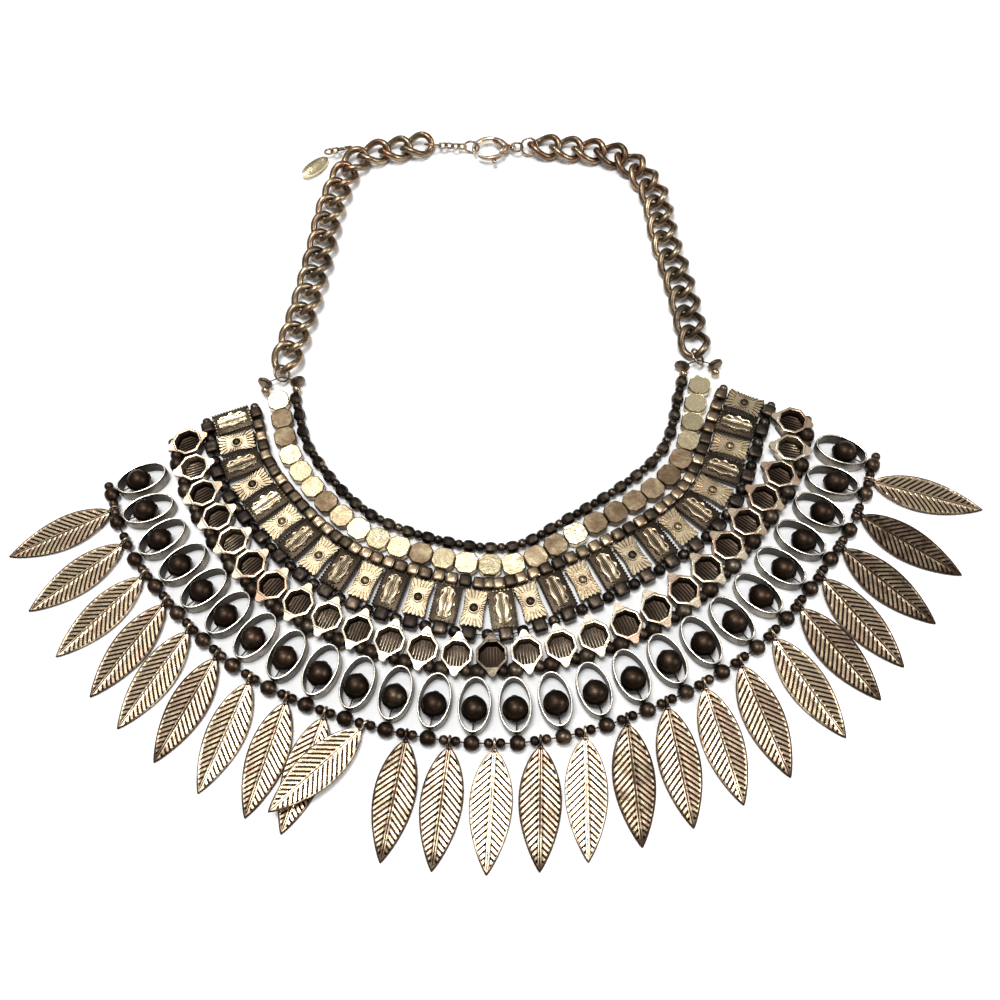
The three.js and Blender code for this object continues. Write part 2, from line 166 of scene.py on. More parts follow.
def with_modifier(piece, kind, **settings):
    deselect()
    piece.select_set(True)
    bpy.context.view_layer.objects.active = piece
    modifier = piece.modifiers.new(kind.lower(), kind)
    for key, value in settings.items():
        setattr(modifier, key, value)
    bpy.ops.object.modifier_apply(modifier=modifier.name)
    return piece


def bevelled(piece, width, segments=2, angle=30):
    return with_modifier(piece, "BEVEL", width=width, segments=segments, limit_method="ANGLE",
                         angle_limit=math.radians(angle))


def turned(stations, sides, axis="Z"):
    """A turned piece: a disc at the first (height, radius), drawn up and resized to each next one."""
    height, radius = stations[0]
    deselect()
    bpy.ops.mesh.primitive_circle_add(vertices=sides, radius=radius, fill_type="NGON",
                                      location=(0, 0, height))
    bpy.ops.object.mode_set(mode="EDIT")
    bpy.ops.mesh.select_all(action="SELECT")
    for next_height, next_radius in stations[1:]:
        bpy.ops.mesh.extrude_region_move(
            TRANSFORM_OT_translate={"value": (0, 0, next_height - height)})
        bpy.ops.transform.resize(value=(next_radius / radius, next_radius / radius, 1))
        height, radius = next_height, next_radius
    bpy.ops.mesh.select_all(action="SELECT")
    bpy.ops.mesh.normals_make_consistent(inside=False)
    bpy.ops.object.mode_set(mode="OBJECT")
    bpy.ops.object.transform_apply(location=True, rotation=True, scale=True)
    piece = bpy.context.object
    if axis == "X":
        piece.rotation_euler = (0, math.pi / 2, 0)
    if axis == "Y":
        piece.rotation_euler = (math.pi / 2, 0, 0)
    bpy.ops.object.transform_apply(location=True, rotation=True, scale=True)
    return piece


def joined(pieces):
    deselect()
    for piece in pieces:
        piece.select_set(True)
    bpy.context.view_layer.objects.active = pieces[0]
    bpy.ops.object.join()
    return bpy.context.object


def smoothed(piece, angle=35):
    deselect()
    piece.select_set(True)
    bpy.context.view_layer.objects.active = piece
    bpy.ops.object.shade_smooth_by_angle(angle=math.radians(angle))
    return piece


class Pattern:
    """A finished shape in millimetres, kept as corners and faces, with a hollow value at each corner:
    0 where patina is rubbed off, 1 deep in a groove; on the cup floors it also carries painted shade."""

    def __init__(self, piece, hollow=None, angle=35):
        smoothed(piece, angle)
        mesh = piece.data
        self.corners = [v.co.copy() for v in mesh.vertices]
        self.faces = [tuple(p.vertices) for p in mesh.polygons]
        self.smooth = [p.use_smooth for p in mesh.polygons]
        self.sharp = {tuple(sorted(e.vertices)) for e in mesh.edges if e.use_edge_sharp}
        self.hollow = [hollow(c) if hollow else 0.0 for c in self.corners]
        bpy.data.objects.remove(piece)


class Assembly:
    """One visible piece, gathered from copies of patterns, that stands for CAD nodes."""

    def __init__(self):
        self.corners = []
        self.faces = []
        self.smooth = []
        self.sharp = []
        self.tones = []
        self.slots = []

    def add(self, pattern, matrix, tone=0.5, warm=0.3, slot=0):
        first = len(self.corners)
        self.corners += [(matrix @ c) * MM for c in pattern.corners]
        self.faces += [tuple(k + first for k in face) for face in pattern.faces]
        self.smooth += pattern.smooth
        self.sharp += [(a + first, b + first) for a, b in pattern.sharp]
        self.tones += [(tone, h, warm, 1.0) for h in pattern.hollow]
        self.slots += [slot] * len(pattern.faces)

    def finish(self, name, materials, nodes, slot_name, body="necklace"):
        mesh = bpy.data.meshes.new(name)
        mesh.from_pydata(self.corners, [], self.faces)
        mesh.update()
        mesh.polygons.foreach_set("use_smooth", self.smooth)
        mesh.polygons.foreach_set("material_index", self.slots)
        sharp = {tuple(sorted(pair)) for pair in self.sharp}
        for edge in mesh.edges:
            edge.use_edge_sharp = tuple(sorted(edge.vertices)) in sharp
        finish = mesh.color_attributes.new("finish", "FLOAT_COLOR", "POINT")
        finish.data.foreach_set("color", [value for tone in self.tones for value in tone])
        for material in materials:
            mesh.materials.append(material)
        piece = bpy.data.objects.new(name, mesh)
        bpy.context.scene.collection.objects.link(piece)
        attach(piece, body)
        if nodes:
            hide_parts(*nodes)
        return piece


def clamp(value, low=0.0, high=1.0):
    return max(low, min(high, value))


# ---- the finishes -------------------------------------------------------------------------------
def node_at(tree, kind, links=None, **settings):
    node = tree.nodes.new(kind)
    for key, value in settings.items():
        setattr(node, key, value)
    for socket, source in (links or {}).items():
        if hasattr(source, "links"):
            tree.links.new(source, node.inputs[socket])
        else:
            node.inputs[socket].default_value = source
    return node


def patina_group():
    """Worn plating: bright metal over a dark patina that stays in hollows and comes off in blotches."""
    group = bpy.data.node_groups.new("worn plating", "ShaderNodeTree")
    inputs = [("Bright", "NodeSocketColor"), ("Patina", "NodeSocketColor"),
              ("Copper", "NodeSocketColor"), ("Blotch", "NodeSocketFloat"),
              ("Dent", "NodeSocketFloat"), ("Least roughness", "NodeSocketFloat")]
    for name, kind in inputs:
        group.interface.new_socket(name=name, in_out="INPUT", socket_type=kind)
    for name, kind in [("Color", "NodeSocketColor"), ("Roughness", "NodeSocketFloat"),
                       ("Height", "NodeSocketFloat")]:
        group.interface.new_socket(name=name, in_out="OUTPUT", socket_type=kind)
    given = group.nodes.new("NodeGroupInput")
    place = node_at(group, "ShaderNodeTexCoord").outputs["Object"]
    finish = node_at(group, "ShaderNodeAttribute", attribute_name="finish")
    parts = node_at(group, "ShaderNodeSeparateColor", {"Color": finish.outputs["Color"]})
    tone, hollow, warm = (parts.outputs[k] for k in ("Red", "Green", "Blue"))

    def noise(scale, detail, rough=0.6):
        return node_at(group, "ShaderNodeTexNoise", {"Vector": place, "Scale": scale,
                                                     "Detail": detail, "Roughness": rough}).outputs[0]

    def maths(operation, a, b, clamped=True):
        return node_at(group, "ShaderNodeMath", {0: a, 1: b}, operation=operation,
                       use_clamp=clamped).outputs[0]

    def eased(value, low, high, to_low=0.0, to_high=1.0):
        return node_at(group, "ShaderNodeMapRange",
                       {"Value": value, "From Min": low, "From Max": high, "To Min": to_low,
                        "To Max": to_high}, interpolation_type="SMOOTHSTEP").outputs[0]

    blotches = maths("MULTIPLY", maths("SUBTRACT", noise(260, 3), 0.5, False),
                     given.outputs["Blotch"], False)
    worn = maths("SUBTRACT", maths("ADD", tone, blotches), maths("MULTIPLY", hollow, 0.85))
    specks = eased(noise(1500, 2), 0.60, 0.72, 0.0, 0.35)
    bare = maths("SUBTRACT", eased(worn, 0.08, 0.98), specks)
    pink = maths("MULTIPLY", eased(noise(120, 2), 0.42, 0.62), warm)
    metal = node_at(group, "ShaderNodeMix", {"Factor": pink, 6: given.outputs["Bright"],
                                             7: given.outputs["Copper"]}, data_type="RGBA")
    colour = node_at(group, "ShaderNodeMix", {"Factor": bare, 6: given.outputs["Patina"],
                                              7: metal.outputs[2]}, data_type="RGBA")
    scratches = node_at(group, "ShaderNodeTexNoise",
                        {"Vector": node_at(group, "ShaderNodeMapping",
                                           {"Vector": place, "Scale": (1.0, 7.0, 1.0),
                                            "Rotation": (0, 0, 0.6)}).outputs[0],
                         "Scale": 900.0, "Detail": 2.0}).outputs[0]
    matt = maths("SUBTRACT", 1.0, bare)
    rough = maths("ADD", given.outputs["Least roughness"],
                  maths("ADD", maths("MULTIPLY", matt, 0.22),
                        maths("MULTIPLY", eased(scratches, 0.45, 0.75), 0.14)))
    height = maths("ADD", maths("MULTIPLY", noise(420, 2), given.outputs["Dent"]),
                   maths("MULTIPLY", scratches, 0.12), False)
    shown = group.nodes.new("NodeGroupOutput")
    group.links.new(colour.outputs[2], shown.inputs["Color"])
    group.links.new(rough, shown.inputs["Roughness"])
    group.links.new(height, shown.inputs["Height"])
    return group


WORN = patina_group()


def metal(name, bright, patina, copper, blotch=0.9, dent=0.6, least_roughness=0.2, bump=0.25):
    material = bpy.data.materials.new(name)
    material.use_nodes = True
    tree = material.node_tree
    tree.nodes.clear()
    worn = node_at(tree, "ShaderNodeGroup")
    worn.node_tree = WORN
    for socket, value in [("Bright", (*bright, 1)), ("Patina", (*patina, 1)),
                          ("Copper", (*copper, 1)), ("Blotch", blotch), ("Dent", dent),
                          ("Least roughness", least_roughness)]:
        worn.inputs[socket].default_value = value
    dents = node_at(tree, "ShaderNodeBump", {"Height": worn.outputs["Height"], "Strength": bump,
                                             "Distance": 0.0003})
    shader = node_at(tree, "ShaderNodeBsdfPrincipled",
                     {"Base Color": worn.outputs["Color"], "Roughness": worn.outputs["Roughness"],
                      "Normal": dents.outputs[0], "Metallic": 1.0})
    node_at(tree, "ShaderNodeOutputMaterial", {"Surface": shader.outputs[0]})
    return material


ROSE = (0.60, 0.34, 0.22)
PALE_GOLD = metal("pale gold plating", (0.82, 0.70, 0.44), (0.12, 0.078, 0.045), ROSE, 0.75, 1.0, 0.2, 0.5)
BRONZE = metal("antique bronze", (0.47, 0.36, 0.23), (0.04, 0.029, 0.02), (0.42, 0.21, 0.12))
DARK_BEAD = metal("dark bead bronze", (0.28, 0.22, 0.155), (0.022, 0.017, 0.014), (0.28, 0.15, 0.09),
                  1.1, 0.4, 0.16)
BROWN_RING = metal("brown ring bronze", (0.42, 0.30, 0.21), (0.03, 0.019, 0.013), (0.34, 0.17, 0.09),
                   0.8, 0.3, 0.18, 0.12)
COPPER_RIM = metal("worn copper", (0.86, 0.73, 0.54), (0.035, 0.024, 0.017), (0.60, 0.34, 0.22), 0.6, 0.4)
PLAQUE_GOLD = metal("worn plaque gold", (0.80, 0.66, 0.43), (0.05, 0.036, 0.025), (0.56, 0.33, 0.21), 0.7, 0.8)
RING_RIM = metal("pale ring bronze", (0.80, 0.73, 0.62), (0.045, 0.036, 0.028), (0.5, 0.32, 0.2), 0.5, 0.3)
LEAF_METAL = metal("engraved leaf gold", (0.72, 0.57, 0.38), (0.035, 0.022, 0.014),
                   (0.66, 0.42, 0.31), 0.75, 0.5, 0.22, 0.3)


# ---- the patterns --------------------------------------------------------------------------------
def oval_bead(length, radius, sides=8):
    half = length / 2
    cut = 0.62
    return turned([(-half, radius * 0.5), (-half * cut, radius * 0.88), (-half * 0.2, radius),
                   (half * 0.2, radius), (half * cut, radius * 0.88), (half, radius * 0.5)],
                  sides, "X")


def cushion_bead(half):
    piece = modelled(bpy.ops.mesh.primitive_cube_add, size=2 * half)
    deselect()
    piece.select_set(True)
    bpy.ops.object.mode_set(mode="EDIT")
    bpy.ops.mesh.select_all(action="SELECT")
    bpy.ops.mesh.subdivide(number_cuts=3)
    bpy.ops.object.mode_set(mode="OBJECT")
    with_modifier(piece, "CAST", factor=0.32, size=half * 1.25, use_radius_as_size=False)
    return bevelled(piece, half * 0.12, 1, 20)


def octagon_plaque():
    """A square with cut corners, with rounded edges and a slight dome."""
    across, half, flat = 6.9, 1.3, 0.52
    radius = across / 2 / math.cos(math.pi / 8)
    plate = modelled(bpy.ops.mesh.primitive_cylinder_add, vertices=8, radius=radius, depth=2 * half,
                     rotation=(0, 0, math.pi / 8))
    for v in plate.data.vertices:
        if abs(v.co.x) > abs(v.co.y):
            v.co.y = math.copysign(flat * across / 2, v.co.y)
        else:
            v.co.x = math.copysign(flat * across / 2, v.co.x)
    bevelled(plate, 0.32, 3, 25)
    dome = 0.18
    for v in plate.data.vertices:
        if v.co.z > half - 0.01:
            v.co.z -= dome * (v.co.xy.length / radius) ** 2
    return plate


def ring_of(radius_x, radius_y, wire, around=32, section=6, z=0.0):
    piece = modelled(bpy.ops.mesh.primitive_torus_add, major_segments=around,
                     minor_segments=section, major_radius=1, minor_radius=wire / 2)
    for v in piece.data.vertices:
        angle = math.atan2(v.co.y, v.co.x)
        out = (v.co.xy.length - 1) * 2
        v.co.x = (radius_x + out) * math.cos(angle)
        v.co.y = (radius_y + out) * math.sin(angle)
        v.co.z = v.co.z * 2 + z
    return piece


def strip(x, y, length, width, height, z, turn, taper=1.0):
    """A narrow raised rib with a sharp back."""
    piece = modelled(bpy.ops.mesh.primitive_cube_add, size=1)
    for v in piece.data.vertices:
        back = 0.25 if v.co.z > 0 else 1.0
        end = taper if v.co.x > 0 else 1.0
        v.co = Vector((v.co.x * length, v.co.y * width * back * end, v.co.z * height))
    piece.data.transform(Matrix.Translation((x, y, z)) @ Matrix.Rotation(turn, 4, "Z"))
    return piece


PLAQUE_HALF = (3.8, 6.1)
PLAQUE_TOP = 1.0


BALUSTER = {"sides": 40, "flat": 0.42, "groove": 0.84}


def on_rib(x, z):
    """Every second edge round the baluster stands up as a rib."""
    return round(math.atan2(z, x) * BALUSTER["sides"] / TURN) % 2 == 0


def framed_plaque():
    """A rectangle with a beaded frame, a wavy line inside it and a ribbed baluster in the middle."""
    half_x, half_y = PLAQUE_HALF
    base = modelled(bpy.ops.mesh.primitive_cube_add, size=2)
    squeezed(base, half_x, half_y, 1.2)
    base.data.transform(Matrix.Translation((0, 0, -0.25)))
    bevelled(base, 0.25, 2)
    parts = [base]
    grain = 0.38
    for i in range(13):
        y = -half_y + grain + i * (2 * half_y - 2 * grain) / 12
        for side in (-1, 1):
            parts.append(modelled(bpy.ops.mesh.primitive_ico_sphere_add, subdivisions=1, radius=grain + 0.06,
                                  location=(side * (half_x - 0.1), y, PLAQUE_TOP - 0.1)))
    for i in range(1, 6):
        x = -half_x + grain + i * (2 * half_x - 2 * grain) / 6
        for side in (-1, 1):
            parts.append(modelled(bpy.ops.mesh.primitive_ico_sphere_add, subdivisions=1, radius=grain + 0.06,
                                  location=(x, side * (half_y - grain), PLAQUE_TOP)))
    line = ring_of(2.35, 4.9, 0.3, 72, 5, PLAQUE_TOP)
    for v in line.data.vertices:
        side = abs(v.co.x) / 2.35
        v.co.x *= 1 + 0.16 * math.cos(v.co.y * TURN / 3.1) * side
        v.co.y += math.copysign(0.5 * side * side, v.co.y) if abs(v.co.y) > 2.4 else 0
    parts.append(line)
    profile = [(-4.7, 1.1), (-4.5, 1.6), (-3.6, 1.6), (-3.0, 1.3), (-2.0, 1.6), (-1.0, 1.95), (0, 2.05),
               (1.0, 1.95), (2.0, 1.6), (3.0, 1.3), (3.6, 1.6), (4.5, 1.6), (4.7, 1.1)]
    baluster = turned(profile, BALUSTER["sides"], "Y")
    for v in baluster.data.vertices:
        depth = 1.0 if on_rib(v.co.x, v.co.z) else BALUSTER["groove"]
        v.co.x *= depth
        v.co.z = v.co.z * BALUSTER["flat"] * depth + PLAQUE_TOP
    parts.append(baluster)
    return joined(parts)


def rayed_plaque():
    """A rectangle with scalloped ends, rays from its middle and a domed boss in a ring."""
    half_x, half_y = PLAQUE_HALF
    corners = 160
    base = modelled(bpy.ops.mesh.primitive_cylinder_add, vertices=corners, radius=1, depth=2.2)
    for v in base.data.vertices:
        angle = math.atan2(v.co.y, v.co.x)
        reach = min(half_x / max(abs(math.cos(angle)), 0.01), half_y / max(abs(math.sin(angle)), 0.01))
        notch = 0.75 * abs(math.sin(angle * 14)) * (0.35 + 0.65 * abs(math.sin(angle)))
        waist = 0.8 + 0.2 * abs(math.sin(angle))
        v.co.x = (reach - notch) * math.cos(angle) * waist
        v.co.y = (reach - notch) * math.sin(angle)
        v.co.z -= 0.25
    bevelled(base, 0.2, 1, 50)
    parts = [base]
    rays = 28
    for i in range(rays):
        angle = (i + 0.5) * TURN / rays
        reach = min(half_x / max(abs(math.cos(angle)), 0.01), half_y / max(abs(math.sin(angle)), 0.01)) - 0.7
        start = max(1.9, 0.6 * reach)
        middle = (start + reach) / 2
        parts.append(strip(middle * math.cos(angle), middle * math.sin(angle), reach - start, 0.42, 0.5,
                           PLAQUE_TOP - 0.05, angle, 1.5))
    parts.append(ring_of(1.5, 1.5, 0.28, 24, 6, PLAQUE_TOP))
    parts.append(turned([(0.4, 1.2), (1.1, 1.2), (1.5, 1.0), (1.75, 0.6), (1.85, 0.15)], 16))
    return joined(parts)


def cup_shell():
    """An eight-sided cup with ribs across its floor, and two pinched ears at the rim."""
    reach, rise, wall, floor = 4.5, 4.5, 0.75, 0.9
    radius = reach / math.cos(math.pi / 8)
    cup = modelled(bpy.ops.mesh.primitive_cylinder_add, vertices=8, radius=radius, depth=rise,
                   location=(0, 0, rise / 2), rotation=(0, 0, math.pi / 8))
    deselect()
    cup.select_set(True)
    bpy.ops.object.mode_set(mode="EDIT")
    bpy.ops.mesh.select_all(action="DESELECT")
    bpy.ops.object.mode_set(mode="OBJECT")
    for face in cup.data.polygons:
        face.select = face.normal.z > 0.9
    bpy.ops.object.mode_set(mode="EDIT")
    bpy.ops.mesh.select_mode(type="FACE")
    bpy.ops.mesh.inset(thickness=wall)
    bpy.ops.mesh.extrude_region_move(TRANSFORM_OT_translate={"value": (0, 0, floor - rise)})
    bpy.ops.transform.resize(value=(0.93, 0.93, 1))
    bpy.ops.object.mode_set(mode="OBJECT")
    bevelled(cup, 0.14, 2, 40)
    parts = [cup]
    for i in range(7):
        x = (i - 3) * 0.95
        run = 2 * math.sqrt(max(3.4 ** 2 - x ** 2, 1)) - 0.3
        parts.append(strip(x * 0.95, 0, run, 0.5, 0.5, floor + 0.15, math.pi / 2))
    for side in (-1, 1):
        ear = modelled(bpy.ops.mesh.primitive_cylinder_add, vertices=24, radius=1, depth=1.5)
        for v in ear.data.vertices:
            along = (v.co.y + 1) / 2
            width = 1.6 * (1 - along) ** 3 + 1.15 * math.sqrt(max(1 - along ** 5, 0.0))
            v.co.x = math.copysign(width, v.co.x) if abs(v.co.x) > 0.01 else 0
            v.co.y = reach - 0.5 + along * 2.7
            v.co.z += rise - 0.8
            if side < 0:
                v.co.x, v.co.y = -v.co.x, -v.co.y
        parts.append(bevelled(ear, 0.12, 1, 40))
    return joined(parts)


RING_SIZE = (4.8, 8.1, 5.0, 0.5)


def oval_band():
    """A smooth oval band standing on its edge, its inside a little wider at the middle."""
    half_x, half_y, height, wall = RING_SIZE
    deselect()
    bpy.ops.mesh.primitive_circle_add(vertices=48, radius=1, fill_type="NOTHING")
    bpy.ops.object.mode_set(mode="EDIT")
    bpy.ops.mesh.select_mode(type="EDGE")
    bpy.ops.mesh.select_all(action="SELECT")
    for _ in range(4):
        bpy.ops.mesh.extrude_region_move(TRANSFORM_OT_translate={"value": (0, 0, height / 4)})
    bpy.ops.mesh.select_all(action="SELECT")
    bpy.ops.mesh.normals_make_consistent(inside=False)
    bpy.ops.object.mode_set(mode="OBJECT")
    band = bpy.context.object
    for v in band.data.vertices:
        belly = 0.12 * math.sin(math.pi * v.co.z / height)
        v.co.x *= half_x - 0.12 + belly
        v.co.y *= half_y - 0.12 + belly
    with_modifier(band, "SOLIDIFY", thickness=wall, offset=-1)
    return bevelled(band, 0.2, 2, 50)


def ball_bead(radius):
    """A round bead with a small collar at each end of its hole."""
    ball = modelled(bpy.ops.mesh.primitive_uv_sphere_add, segments=28, ring_count=18, radius=radius,
                    rotation=(math.pi / 2, 0, 0))
    collar = turned([(-radius - 0.15, 0.7), (-radius + 0.1, 1.0), (radius - 0.1, 1.0),
                     (radius + 0.15, 0.7)], 16, "Y")
    return joined([ball, collar])


LEAF = {"length": 33.4, "half": 5.65, "thick": 0.55, "start": 1.3, "veins": 19, "slant": 0.95}


def leaf_half_width(v):
    """The outline of the leaf: a narrow shoulder, widest a little above the middle, a sharp tip."""
    if v <= 0:
        return 0.8
    return max(LEAF["half"] * 1.045 * math.sin(math.pi * v ** 0.86) ** 0.8, 0.8 * (1 - v / 0.08), 0.04)


def leaf_relief(u, v):
    """(height, hollow) of the engraved face, u across from -1 to 1 and v from stem to tip."""
    half = leaf_half_width(v)
    across = abs(u) * half
    edge = half - across
    rim = clamp(1 - abs(edge - 0.3) / 0.35)
    midrib = clamp(1 - across / 0.9)
    line = clamp(1 - across / 0.2) * clamp((0.97 - v) / 0.03)
    slant = v - across * LEAF["slant"] / LEAF["length"]
    groove = clamp((0.5 + 0.5 * math.cos(slant * LEAF["veins"] * TURN) - 0.5) / 0.25)
    groove *= clamp((edge - 0.65) / 0.3) * clamp((across - 0.55) / 0.3)
    groove *= clamp((v - 0.05) / 0.03) * clamp((0.955 - v) / 0.03)
    height = 0.16 * rim + 0.22 * midrib - 0.42 * groove - 0.16 * line
    edge_patina = clamp(1.2 - edge / 0.5)
    tip_patina = 0.5 * clamp((v - 0.8) / 0.2)
    return height, clamp(groove * 1.1 + line + edge_patina + tip_patina)


def leaf_pattern(rise):
    """An engraved leaf, thin, with a bail over the string. The grid's rows run from stem to tip."""
    across, along = 30, 152
    plate = modelled(bpy.ops.mesh.primitive_grid_add, x_subdivisions=across, y_subdivisions=along, size=2)
    for vertex in plate.data.vertices:
        u = vertex.co.x
        row = (1 - vertex.co.y) / 2
        v = row
        for _ in range(12):
            v = min(row + LEAF["slant"] * abs(u) * leaf_half_width(v) / LEAF["length"], 1)
        bowl = 0.25 * u * u * math.sin(math.pi * clamp(v))
        vertex.co = Vector((u * leaf_half_width(v), -LEAF["start"] - v * LEAF["length"],
                            leaf_relief(u, v)[0] - bowl - 0.72))
    with_modifier(plate, "SOLIDIFY", thickness=LEAF["thick"], offset=-1)
    tilt = Matrix.Rotation(math.radians(rise), 4, "X")
    plate.data.transform(tilt)
    bail = ring_of(1.25, 1.25, 0.42, 20, 8)
    bail.data.transform(Matrix.Rotation(math.pi / 2, 4, "Y"))
    stem = modelled(bpy.ops.mesh.primitive_uv_sphere_add, segments=12, ring_count=8, radius=0.8,
                    location=(0, -1.75, -0.55))

    def hollow(corner):
        flat = tilt.inverted() @ corner
        v = (-flat.y - LEAF["start"]) / LEAF["length"]
        if not 0 < v < 1:
            return 0.3
        return leaf_relief(clamp(flat.x / leaf_half_width(v), -1, 1), v)[1]

    return Pattern(joined([plate, bail, stem]), hollow, 50)


def link(half_x, half_y, wire, twist=0.0, around=36, section=10):
    """A chain link: a ring whose wire follows an oval twisted about its long axis."""
    piece = modelled(bpy.ops.mesh.primitive_torus_add, major_segments=around,
                     minor_segments=section, major_radius=1, minor_radius=0.25)

    def centre(angle):
        side = half_y * math.sin(angle)
        turn = twist * math.cos(angle)
        return Vector((half_x * math.cos(angle), side * math.cos(turn), side * math.sin(turn)))

    for v in piece.data.vertices:
        angle = math.atan2(v.co.y, v.co.x)
        out, up = (v.co.xy.length - 1) * 4, v.co.z * 4
        along = (centre(angle + 0.01) - centre(angle - 0.01)).normalized()
        outward = centre(angle).normalized()
        outward = (outward - along * outward.dot(along)).normalized()
        v.co = centre(angle) + (outward * out - outward.cross(along) * up) * wire
    return piece


def swept(points, section=12):
    """A rod through points (x, y, z, radius), with round ends."""
    curve = bpy.data.curves.new("rod", "CURVE")
    curve.dimensions = "3D"
    curve.bevel_depth = 1
    curve.bevel_resolution = section // 4
    curve.use_fill_caps = True
    spline = curve.splines.new("POLY")
    spline.points.add(len(points) - 1)
    for point, (x, y, z, radius) in zip(spline.points, points):
        point.co = (x, y, z, 1)
        point.radius = radius
    rod = bpy.data.objects.new("rod", curve)
    bpy.context.scene.collection.objects.link(rod)
    deselect()
    rod.select_set(True)
    bpy.context.view_layer.objects.active = rod
    bpy.ops.object.convert(target="MESH")
    return bpy.context.object


def claw_arc(start, end, radius_at, steps=30):
    """Points of the claw's oval between two angles in degrees, each with its own rod radius."""
    points = []
    for i in range(steps + 1):
        part = i / steps
        angle = math.radians(start + (end - start) * part)
        points.append((6.0 * math.cos(angle) - 0.3, 4.85 * math.sin(angle), 0, radius_at(part)))
    return points


def clasp_body():
    """The broad back of a lobster claw, with the rivet of its lever and a ring at the tail."""
    upper = swept([(1.0, 4.55, 0, 0.8), (2.4, 3.8, 0, 1.25), (3.9, 2.4, 0, 1.6), (5.3, 0.8, 0, 1.45),
                   (6.8, 0, 0, 0.95)])
    lower = swept([(5.6, 0.4, 0, 1.4), (4.7, -1.2, 0, 1.4), (3.5, -2.0, 0, 1.05)])
    parts = [upper, lower]
    for side in (-1, 1):
        parts.append(modelled(bpy.ops.mesh.primitive_uv_sphere_add, segments=16, ring_count=8, radius=0.45,
                              location=(4.1, -3, side * 0.75)))
    tail = link(1.3, 1.3, 0.5, 0, 24, 8)
    tail.data.transform(Matrix.Translation((7.6, 0, 0)) @ Matrix.Rotation(math.pi / 2, 4, "X"))
    return joined([*parts, tail])


def clasp_hook():
    """The claw's thin hook, from the back over the top to its tapered end."""
    return swept(claw_arc(60, 207, lambda part: 0.85 + 0.2 * math.sin(math.pi * part) - 0.4 * part ** 6))


def clasp_lever():
    """The sprung lower jaw, with a thumb knob under it."""
    jaw = swept(claw_arc(306, 222, lambda part: 0.98 - 0.58 * part ** 3, 20))
    pivot = modelled(bpy.ops.mesh.primitive_cylinder_add, vertices=20, radius=1.1, depth=0.85,
                     location=(4.0, -3.1, 0))
    thumb = swept([(1.2, -4.9, 0, 0.5), (1.2, -5.9, 0, 0.55), (1.2, -6.3, 0, 0.8), (1.2, -6.9, 0, 0.85),
                   (1.2, -7.4, 0, 0.65), (1.2, -7.6, 0, 0.3)])
    return joined([jaw, bevelled(pivot, 0.15, 2), thumb])


def oval_plate():
    """A plain oval tag with a hole near one end."""
    tag = modelled(bpy.ops.mesh.primitive_cylinder_add, vertices=48, radius=1, depth=0.9)
    squeezed(tag, 6.4, 2.9, 1)
    bevelled(tag, 0.2, 2, 50)
    hole = modelled(bpy.ops.mesh.primitive_cylinder_add, vertices=20, radius=0.85, depth=4,
                    location=(-4.6, 0, 0))
    with_modifier(tag, "BOOLEAN", operation="DIFFERENCE", object=hole)
    bpy.data.objects.remove(hole)
    return tag


# ---- the rows, each in the three lengths that the frame has ----------------------------------------
draws = random.Random(7)


def varied(tone, spread=0.12):
    return clamp(tone + draws.uniform(-spread, spread))


def thread(assembly, a, b, height, pattern):
    """A straight stretch of thread from a to b."""
    along = b - a
    middle = (a + b) / 2
    place = (middle, math.atan2(along.y, along.x))
    assembly.add(pattern, matrix_of(place, z=height) @ Matrix.Diagonal((along.length, 1, 1, 1)), 0.1, 0)


def row_of_three():
    return [Assembly() for _ in SIDES]


def finish_row(assemblies, name, materials, slot):
    for side, assembly in zip(SIDES, assemblies):
        assembly.finish(f"{name}_{side}_looks", materials, [f"{name}_{side}"], slot)


def end_beads(assemblies, places, reach, height):
    """A small bead that closes each end of a row's string."""
    for assembly, place, side in ((assemblies[0], places[0], -1), (assemblies[-1], places[-1], 1)):
        assembly.add(SMALL_BEAD, matrix_of(place, x=side * reach, z=height), 0.3, 0.3)


STRING = Pattern(turned([(-0.5, 0.22), (0.5, 0.22)], 6, "X"))
SMALL_BEAD = Pattern(oval_bead(2.45, 1.45, 10), angle=40)
THREAD_Z = 2.0

# inner string: dark faceted beads with a small one between
row = row_of_three()
bead = Pattern(oval_bead(4.1, 1.95, 8), angle=20)
places = places_on("inner")
for i, place in enumerate(places):
    third = third_of(i, len(places))
    row[third].add(bead, matrix_of(place, z=THREAD_Z), varied(0.3), 0.3)
    if i:
        gap = between(places[i - 1], place)
        row[third].add(SMALL_BEAD, matrix_of(gap, z=THREAD_Z), varied(0.3), 0.3)
        thread(row[third], places[i - 1][0], place[0], THREAD_Z, STRING)
finish_row(row, "inner_beads", [DARK_BEAD], "dark_bead")

# flat squares with cut corners
row = row_of_three()
plate = Pattern(octagon_plaque(), lambda c: 0.5 if c.z < 0.6 else 0.0, 30)
places = places_on("octagon")
for i, (place, tone) in enumerate(zip(places, OCTAGON_TONES)):
    lean = Matrix.Rotation(draws.uniform(-0.07, 0.07), 4, "X")
    lean @= Matrix.Rotation(draws.uniform(-0.06, 0.06), 4, "Y")
    row[third_of(i, len(places))].add(plate, matrix_of(place, z=THREAD_Z) @ lean, tone ** 1.8, 0.5 * (1 - tone) + 0.15)
    if i:
        thread(row[third_of(i, len(places))], places[i - 1][0], place[0], THREAD_Z, STRING)
finish_row(row, "octagon_plaques", [PALE_GOLD], "pale_gold")

